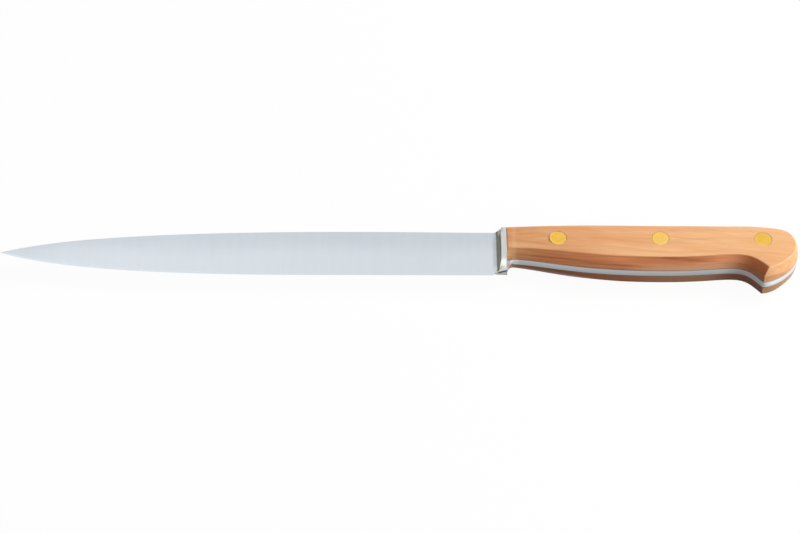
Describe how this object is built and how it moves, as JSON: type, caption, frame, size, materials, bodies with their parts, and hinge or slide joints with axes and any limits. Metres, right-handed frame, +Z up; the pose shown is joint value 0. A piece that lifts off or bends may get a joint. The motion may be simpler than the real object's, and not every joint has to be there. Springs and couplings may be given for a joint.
{
  "type": "fillet knife",
  "caption": "Full-tang fillet knife with a long narrow pointed blade, a short bolster, and wooden handle scales held by brass rivets.",
  "frame": {"origin": "under the middle of the knife, on the surface that it lies on", "axes": "the knife lies on its side: -X to the tip, +X to the butt, -Y to the cutting edge, +Y to the spine, +Z up across the handle's thickness"},
  "size_m": [0.338, 0.0298, 0.0164],
  "materials": {
    "blade_steel": "satin, finely ground across the blade",
    "handle_wood": "fine-grained fruit wood, sanded smooth and oiled",
    "rivet_brass": "ground flush with the wood, satin"
  },
  "bodies": {
    "root": {"forged_blade": "blade_steel", "upper_scale": "handle_wood", "lower_scale": "handle_wood", "front_rivet_sleeve": "rivet_brass", "front_rivet_pin": "rivet_brass", "middle_rivet_sleeve": "rivet_brass", "middle_rivet_pin": "rivet_brass", "rear_rivet_sleeve": "rivet_brass", "rear_rivet_pin": "rivet_brass"}
  },
  "joints": []
}
